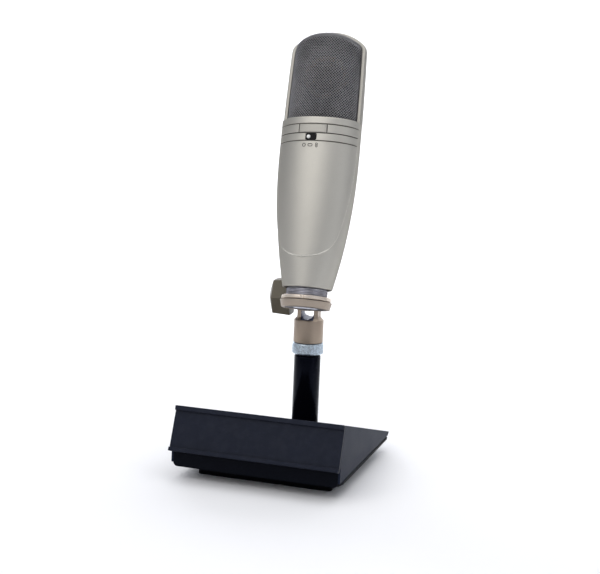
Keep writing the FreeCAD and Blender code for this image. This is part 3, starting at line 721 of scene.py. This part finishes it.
class MIC_OT_shell(bpy.types.Operator):
    """Cast body and the raised front shield with its grooves"""

    bl_idname = "mic.shell"
    bl_label = "Body and shield"

    def execute(self, context):
        look = settings(context, "microphone")
        # Columns and rows are closest where the shield's edge and grooves are.
        front = np.radians(np.arange(-85, 85.01, 0.62))
        back = np.radians(np.arange(87, 272.9, 2.0))
        angles = np.concatenate([front, back])
        rim = [(2.0, -3.5), (2.0, -1.5), (0.35, -1.4), (0.0, -1.1), (0.0, -0.55), (0.12, -0.2),
               (0.45, 0.0)]
        heights = np.concatenate([np.arange(1.2, 18, 1.4), np.arange(18.5, 99.9, 0.5),
                                  np.arange(100, HEAD_AT - 0.9, 0.21)])
        lip = [(HEAD_AT - 0.6, 0.0), (HEAD_AT - 0.25, -0.1), (HEAD_AT - 0.06, -0.32), (HEAD_AT, -0.6),
               (HEAD_AT, -2.6), (HEAD_AT - 1.4, -2.9)]
        rows = rim + [(w, 0.0) for w in heights] + lip
        w = np.array([row[0] for row in rows])[:, None] + np.zeros_like(angles)[None, :]
        out = np.array([row[1] for row in rows])[:, None] + np.zeros_like(w)
        angle = angles[None, :] + np.zeros_like(w)
        wrapped = (angle + math.pi) % (2 * math.pi) - math.pi
        inner = shield_distance(wrapped, w)
        raised = look.shield * step_up(inner, 0.55)
        x = half_width(w) * np.sin(wrapped)
        relief = self.grooves(x, w, inner)
        seam_at, seam_cut = HEAD_AT - 1.5, 0.22            # fine line below the lip, behind the shield
        seam = seam_cut * groove(w - seam_at, 0.25) * (inner < 0)
        above_rim = w > 3
        proud = np.where(above_rim, raised - relief - seam, 0.0)
        points = on_skin(angle, w, out + proud).reshape(-1, 3)
        faces = strip_faces(len(rows), len(angles))
        mask = inner.reshape(-1)
        body_faces, shield_faces = [], []
        for face in faces:
            (shield_faces if mask[face[0]] + mask[face[2]] > 0.5 else body_faces).append(face)
        lacquer = full(look.lacquer)
        casting = metallic_lacquer("body lacquer", lacquer, 0.85, 0.46, 1.0, 0.05)
        cover = metallic_lacquer("shield lacquer", scaled(lacquer, 1.02), 0.85, 0.46, 1.0, 0.05)
        # Lacquer at a third of its brightness for the groove bottoms: painted shade.
        shade = metallic_lacquer("painted groove shade", scaled(lacquer, 0.3), 0.5, 0.5)
        # Lacquer half again as bright for the shield's raised edge: a painted highlight.
        rubbing_and_highlight = metallic_lacquer("painted edge highlight", scaled(lacquer, 1.5), 0.9, 0.26, 1.0, 0.8)
        self.skin("body_skin", points, body_faces, casting, "mic_body", "body_champagne")
        shield = self.skin("shield_skin", points, shield_faces, cover, "front_shield", "shield_champagne")
        shield.data.materials.append(shade)
        shield.data.materials.append(rubbing_and_highlight)
        # step marks the faces on the shield's raised edge below the grooves, which get the painted
        # highlight.
        step = (mask > 0) & (mask < 0.6) & (points[:, 2] < GROOVES[2] - 1)
        # cut marks the faces in the groove bottoms, which get the painted shade.
        cut = (relief.reshape(-1) > 0.5) & (mask > 0.4)
        for polygon, face in zip(shield.data.polygons, shield_faces):
            if sum(step[index] for index in face) >= 2:
                polygon.material_index = 2
            elif sum(cut[index] for index in face) >= 2:
                polygon.material_index = 1
        dress("body_screws", bare_metal("black screws", rgb(60, 60, 62), 0.4), 0.15)
        dress("deck", moulded("deck plastic", rgb(20, 20, 20), 0.6))
        return {"FINISHED"}

    def grooves(self, x, w, inner):
        """Depth cut below the shield: three lines, the ends of the badge's seat, the window."""
        cut, window_cut = 0.78, 1.6
        depth = np.zeros_like(w)
        for line in GROOVES:
            depth = np.maximum(depth, cut * groove(w - line, 0.5) * step_up(inner, 0.6))
        half, badge_w, badge_half = BADGE
        ends = cut * groove(np.abs(x) - half, 0.36) * (np.abs(w - badge_w) < badge_half + 0.3)
        depth = np.maximum(depth, np.where(inner > 0, ends, 0))
        window_x, window_w, window_half, window_tall = WINDOW
        reach = np.maximum(np.abs(x - window_x) - window_half + WINDOW_CORNER, 0)
        rise = np.maximum(np.abs(w - window_w) - window_tall + WINDOW_CORNER, 0)
        hole = (np.hypot(reach, rise) < WINDOW_CORNER) & (inner > 0)
        return np.where(hole, window_cut, depth)

    def skin(self, name, points, faces, material, node, slot):
        """One piece from some of the shell's faces, with only the points that they use."""
        used = sorted({index for face in faces for index in face})
        renumber = {old: new for new, old in enumerate(used)}
        kept = [tuple(renumber[index] for index in face) for face in faces]
        return make_piece(name, points[used], kept, material, "microphone", MIC, (node,), 60)


def pad_on_skin(half, tall, centre, height, edge, steps=(40, 16)):
    """Rounded plate that follows the front of the body: grid of points that drops at its rim."""
    u, v = np.meshgrid(np.linspace(-1, 1, steps[0] + 1), np.linspace(-1, 1, steps[1] + 1))
    crowding = 0.82                       # below 1 puts more points near the rim
    u = np.sign(u) * np.abs(u) ** crowding
    v = np.sign(v) * np.abs(v) ** crowding
    x = centre[0] + u * half
    w = centre[1] + v * tall
    corner = min(half, tall) * 0.32
    over = np.hypot(np.maximum(np.abs(x - centre[0]) - half + corner, 0),
                    np.maximum(np.abs(w - centre[1]) - tall + corner, 0)) - corner
    scale = np.where(over > 0, 1 - over / np.maximum(np.hypot(x - centre[0], w - centre[1]), 1e-6), 1)
    x = centre[0] + (x - centre[0]) * scale
    w = centre[1] + (w - centre[1]) * scale
    rim = np.clip(-over, 0, corner)
    drop = np.where(rim < edge, edge - np.sqrt(np.clip(edge ** 2 - (edge - rim) ** 2, 0, None)), 0)
    border = (np.abs(u) > 0.999) | (np.abs(v) > 0.999)
    out = height - drop - np.where(border, edge, 0)
    angle = np.arcsin(np.clip(x / (half_width(w) + out), -1, 1))
    points = on_skin(angle, w, out).reshape(-1, 3)
    return points, strip_faces(steps[1] + 1, steps[0] + 1, False)


class MIC_OT_controls(bpy.types.Operator):
    """Blank badge, switch window, slide knob and pattern marks"""

    bl_idname = "mic.controls"
    bl_label = "Badge and switch"

    def execute(self, context):
        look = settings(context, "microphone")
        half, badge_w, badge_half = BADGE
        lacquer = full(look.lacquer)
        brushed = metallic_lacquer("badge metal", scaled(lacquer, 0.84), 0.75, 0.46, 1.6, 0.1)
        points, faces = pad_on_skin(half - 0.2, badge_half - 0.12, (0.0, badge_w), look.shield + 0.16,
                                    0.28)
        make_piece("blank_badge", points, faces, brushed, "microphone", MIC, ("label_plate",))
        window_x, window_w, window_half, window_tall = WINDOW
        gloss = moulded("window black", rgb(4, 4, 5), 0.3, 0.15, 0.15, 0.12)
        points, faces = pad_on_skin(window_half - 0.02, window_tall - 0.02, (window_x, window_w),
                                    0.12, 0.15)
        make_piece("switch_plate", points, faces, gloss, "microphone", MIC, ("switch_window",))
        self.knob()
        dress("switch_block", moulded("switch body", rgb(24, 24, 24), 0.5))
        dress("pattern_marks", moulded("mark ink", rgb(30, 30, 30), 0.6, 0.3))
        return {"FINISHED"}

    def knob(self):
        """Small domed slide at the left end of its travel."""
        window_x, window_w = WINDOW[:2]
        half_travel = 1.9
        front = float(half_depth(np.array(window_w)))
        profile = [(0.0, 1.15), (0.45, 1.12), (0.95, 0.95), (1.25, 0.65), (1.33, 0.3), (1.33, 0.0),
                   (0.65, 0.0), (0.65, -2.5), (0.0, -2.5)]
        points, faces = lathe(profile, 40)
        turned = [(window_x - half_travel + x, -front - z, window_w + y) for x, y, z in points]
        white = moulded("switch white", rgb(236, 236, 232), 0.35, 0.2, 0.03)
        make_piece("slide_knob", turned, faces, white, "pattern_switch", MIC, ("switch_knob",))


def head_path(angle, inset):
    """Line of the head at one angle: up the side, then over the dome to the middle."""
    step, top_inset = 0.5, inset * 0.72
    side = on_skin(angle, np.arange(HEAD_AT, DOME_TOP, step), -inset)
    radius = DOME_RADIUS - top_inset
    side = side[side[:, 2] < dome_height(radius, side[:, 0], side[:, 1])]
    x, y, _ = side[-1]
    depth = np.linspace(y, 0, max(4, int(abs(y) / step)))
    over = np.stack([np.full_like(depth, x), depth, dome_height(radius, x, depth)], axis=-1)
    return np.concatenate([side, over[1:]])


def even_steps(path, step):
    """The path, softened at its corner, with a point at each multiple of step."""
    path = soften(path, 26)
    length = lengths(path)
    at = np.arange(int(length[-1] / step) + 1) * step
    return np.stack([np.interp(at, length, path[:, axis]) for axis in range(3)], axis=-1)


class MIC_OT_grilles(bpy.types.Operator):
    """Two woven wire baskets and the fine screen behind them"""

    bl_idname = "mic.grilles"
    bl_label = "Wire grilles"

    def execute(self, context):
        look = settings(context, "microphone")
        steel = bare_metal("dark wire", rgb(150, 149, 151), 0.6, (1, 1, 1), 0.2)
        for name, node, side in (("front_wires", "front_grille", 1), ("rear_wires", "rear_grille", -1)):
            points, faces = self.weave(look.pitch, look.wire, side)
            make_piece(name, points, faces, steel, "microphone", MIC, (node,), 80)
        dress("inner_screen", self.gauze())
        return {"FINISHED"}

    def gauze(self):
        """Fine woven screen that lets the capsule show a little."""
        def recipe(s):
            holes = s.noise(2600, 1)
            wires = holes.ramp(0.44, 0.52)
            return {"Base Color": holes.blend(rgb(22, 22, 22), rgb(52, 51, 50)),
                    "Roughness": holes * 0.2 + 0.55,
                    "Alpha": (wires * 0.75 + 0.25).clamp(), "Normal": s.bump(holes, 0.0001)}
        return surface("fine screen", recipe, Specular_IOR_Level=0.2)

    def field(self, inset, cell):
        """Table of points over the front of the head, by sideways and upward steps of one cell."""
        sample = np.radians(np.linspace(-88, 88, 600))
        arc = lengths(on_skin(sample, 150.0, -inset))
        angles = np.interp(np.arange(int(arc[-1] / cell) + 1) * cell, arc, sample)
        return [even_steps(head_path(angle, inset), cell) for angle in angles]

    def weave(self, pitch, wire, side):
        """Two families of diagonal wires that pass over and under each other."""
        inset = 3.2
        columns = self.field(inset, pitch / math.sqrt(2))
        tallest = max(len(column) for column in columns)
        points, faces = [], []
        for lean in (1, -1):
            for start in range(-tallest + tallest % 2, len(columns) + tallest, 2):
                line, crests = [], []
                for row in range(tallest):
                    index = start + lean * row
                    if 0 <= index < len(columns) and row < len(columns[index]):
                        line.append(columns[index][row])
                        crests.append(1 if (row + (lean < 0)) % 2 else -1)
                if len(line) > 2:
                    self.wire(np.array(line), np.array(crests), wire, points, faces)
        points = np.array(points)
        if side < 0:
            points[:, :2] *= -1
        return points, faces

    def wire(self, line, crest, radius, points, faces):
        """One wire of four sides, waved towards and away from the middle of the head."""
        middle = np.stack([line[:, 0] * 0.35, line[:, 1] * 0.15, np.minimum(line[:, 2], 152.0)], axis=-1)
        outward = unit(line - middle)
        path = line + outward * (crest * radius * 0.9)[:, None]
        along = unit(np.gradient(path, axis=0))
        aside = unit(np.cross(along, outward))
        first = len(points)
        for centre, out, side in zip(path, outward, aside):
            for part, other in ((1, 0), (0, 1), (-1, 0), (0, -1)):
                points.append(centre + (out * part + side * other) * radius)
        faces += strip_faces(len(line), 4, True, first)


class MIC_OT_hoop(bpy.types.Operator):
    """Hoop over the head that both grilles are fixed to"""

    bl_idname = "mic.hoop"
    bl_label = "Head hoop"

    def execute(self, context):
        lacquer = full(settings(context, "microphone").lacquer)
        finish = metallic_lacquer("hoop lacquer", scaled(lacquer, 0.72), 0.75, 0.4)
        heights = np.arange(HEAD_AT - 0.6, DOME_TOP, 0.8)
        x = half_width(heights)
        keep = heights < dome_height(DOME_RADIUS, x)
        side = np.stack([-x[keep], 0 * x[keep], heights[keep]], axis=-1)
        sweep = np.linspace(side[-1, 0], 0, 40)
        over = np.stack([sweep, 0 * sweep, dome_height(DOME_RADIUS, sweep)], axis=-1)
        left = np.concatenate([side, over[1:]])
        right = left[-2::-1] * np.array([-1, 1, 1])
        path = soften(np.concatenate([left, right]), 14)
        along = unit(np.gradient(path, axis=0))
        outward = np.stack([-along[:, 2], 0 * along[:, 0], along[:, 0]], axis=-1)
        width = np.interp(path[:, 2], (HEAD_AT, 172.0, 184.0, 191.0), (3.4, 2.6, 1.6, 1.3))
        section = self.section(thick=2.65, soft=0.7, crisp=0.3)
        points = []
        for centre, out, half in zip(path, outward, width):
            for hand, level, radius, cosine, sine in section:
                y = hand * (half - radius) + radius * cosine
                points.append(centre + out * (level + radius * sine) + np.array([0, y, 0]))
        columns = len(section)
        faces = strip_faces(len(path), columns)
        faces += [tuple(range(columns)), tuple(range((len(path) - 1) * columns, len(path) * columns))]
        make_piece("head_hoop", points, faces, finish, "microphone", MIC, ("head_frame",),
                   50)
        return {"FINISHED"}

    def section(self, thick, soft, crisp):
        """Points round the hoop's section: soft corners outside, crisp ones inside."""
        corners = ((1, -soft, soft, 0), (-1, -soft, soft, 90),
                   (-1, crisp - thick, crisp, 180), (1, crisp - thick, crisp, 270))
        points = []
        for hand, level, radius, begin in corners:
            for step in range(5):
                turn = math.radians(begin + 90 * step / 4)
                points.append((hand, level, radius, math.cos(turn), math.sin(turn)))
        return points


class MIC_OT_capsule(bpy.types.Operator):
    """Capsule, its post and the electronics under it"""

    bl_idname = "mic.capsule"
    bl_label = "Capsule and board"

    def execute(self, context):
        brass = bare_metal("capsule brass", rgb(190, 154, 92), 0.3)
        gold = bare_metal("gold film", rgb(222, 176, 84), 0.22, (1, 1, 1), 0.06)
        for node in ("capsule_body", "capsule_ring_front", "capsule_ring_rear"):
            dress(node, brass, 0.15)
        dress("diaphragm_front", gold)
        dress("diaphragm_rear", gold)
        dress("capsule_post", moulded("capsule post plastic", rgb(26, 26, 28), 0.5), 0.3)
        dress("circuit_board", circuit_lacquer("board lacquer"))
        dress("board_parts", moulded("board components", rgb(36, 38, 44), 0.4), 0.3)
        dress("board_brackets", bare_metal("bracket steel", rgb(160, 160, 160), 0.35))
        return {"FINISHED"}


# ---------------------------------------------------------------- stage
class MIC_OT_stage(bpy.types.Operator):
    """Floor, soft lights and camera"""

    bl_idname = "mic.stage"
    bl_label = "Stage"

    def execute(self, context):
        stage = settings(context, "stage")
        self.floor(full(stage.floor))
        self.lights()
        self.world(context)
        self.camera(context, stage)
        return {"FINISHED"}

    def floor(self, colour):
        """Floor that curves up into a backdrop far behind."""
        size, back, rise, bend = 6.0, 2.2, 2.4, 0.8
        profile = [(-size, 0.0), (back - bend, 0.0)]
        for degrees in range(9, 91, 9):
            turn = math.radians(degrees)
            profile.append((back - bend + bend * math.sin(turn), bend - bend * math.cos(turn)))
        profile.append((back, rise))
        points = [(x, y, z) for y, z in profile for x in (-size, size)]
        faces = strip_faces(len(profile), 2, False)
        mesh = bpy.data.meshes.new("floor")
        mesh.from_pydata(points, [], faces)
        mesh.shade_smooth()
        mesh.materials.append(stage_floor("pale floor", colour))
        floor = bpy.data.objects.new("floor", mesh)
        bpy.context.scene.collection.objects.link(floor)

    def lights(self):
        """Large soft boxes: name, place, what it is aimed at, size, power and tint."""
        microphone, backdrop, plain = (0, 0, 0.16), (0, 2.2, 1.05), (1.0, 1.0, 1.0)
        boxes = (
            ("key box", (-0.42, -1.16, 0.98), microphone, (1.3, 1.0), 7.0, (1.0, 0.98, 0.95)),
            ("top box", (0.1, -0.1, 1.5), microphone, (2.2, 2.2), 17.0, plain),
            ("right strip", (1.15, -0.5, 0.45), microphone, (0.35, 1.1), 1.2, (0.95, 0.97, 1.0)),
            ("left strip", (-0.9, 0.9, 0.45), microphone, (0.4, 1.1), 4.0, (0.9, 0.93, 1.0)),
            ("backdrop box", (0, 0.75, 1.75), backdrop, (3.6, 0.9), 55.0, plain),
        )
        for name, place, target, size, power, tint in boxes:
            lamp = bpy.data.lights.new(name, "AREA")
            lamp.shape = "RECTANGLE"
            lamp.size, lamp.size_y = size
            lamp.energy = power
            lamp.color = tint
            box = bpy.data.objects.new(name, lamp)
            box.location = place
            aim = Vector(target) - Vector(place)
            box.rotation_euler = aim.to_track_quat("-Z", "Y").to_euler()
            bpy.context.scene.collection.objects.link(box)

    def world(self, context):
        """Faint cool light from all round."""
        world = bpy.data.worlds.new("studio air")
        world.use_nodes = True
        sky = world.node_tree.nodes["Background"]
        sky.inputs["Color"].default_value = (0.86, 0.90, 1.0, 1.0)
        sky.inputs["Strength"].default_value = 0.34
        context.scene.world = world
        context.scene.view_settings.view_transform = "Standard"

    def camera(self, context, stage):
        """Camera turned by azimuth, elevation and roll about its own place."""
        data = bpy.data.cameras.new("camera")
        data.sensor_width = 36.0
        data.lens = stage.lens
        camera = bpy.data.objects.new("camera", data)
        context.scene.collection.objects.link(camera)
        a, e, roll = stage.azimuth, stage.elevation, stage.roll
        back = Vector((math.sin(a) * math.cos(e), -math.cos(a) * math.cos(e), math.sin(e)))
        right = Vector((math.cos(a), math.sin(a), 0))
        up = back.cross(right)
        leaned = right * math.cos(roll) + up * math.sin(roll)
        upper = up * math.cos(roll) - right * math.sin(roll)
        turn = Matrix((leaned, upper, back)).transposed().to_4x4()
        camera.matrix_world = Matrix.Translation(stage.camera) @ turn
        context.scene.camera = camera


class MIC_PT_panel(bpy.types.Panel):
    """Lists the settings and the steps"""

    bl_idname = "MIC_PT_panel"
    bl_label = "Desk microphone"
    bl_space_type = "VIEW_3D"
    bl_region_type = "UI"
    bl_category = "Microphone"

    def draw(self, context):
        layout = self.layout
        for group, kind in GROUPS:
            box = layout.box()
            box.label(text=group.capitalize())
            for key in kind.__annotations__:
                box.prop(settings(context, group), key)
        for step in STEPS:
            layout.operator(step.bl_idname)


GROUPS = (("stand", StandSettings), ("head", HeadSettings), ("microphone", MicrophoneSettings),
          ("stage", StageSettings))
STEPS = (MIC_OT_wedge, MIC_OT_foot, MIC_OT_post, MIC_OT_lock_ring, MIC_OT_swivel, MIC_OT_knob,
         MIC_OT_ring, MIC_OT_neck, MIC_OT_shell, MIC_OT_controls, MIC_OT_grilles, MIC_OT_hoop,
         MIC_OT_capsule, MIC_OT_stage)


def register():
    for group, kind in GROUPS:
        bpy.utils.register_class(kind)
        setattr(bpy.types.Scene, "mic_" + group, bpy.props.PointerProperty(type=kind))
    for kind in (*STEPS, MIC_PT_panel):
        bpy.utils.register_class(kind)


def unregister():
    for kind in (MIC_PT_panel, *reversed(STEPS)):
        bpy.utils.unregister_class(kind)
    for group, kind in reversed(GROUPS):
        delattr(bpy.types.Scene, "mic_" + group)
        bpy.utils.unregister_class(kind)


def main():
    """Build every piece."""
    register()
    for step in STEPS:
        family, name = step.bl_idname.split(".")
        getattr(getattr(bpy.ops, family), name)()


if __name__ == "__main__":
    main()
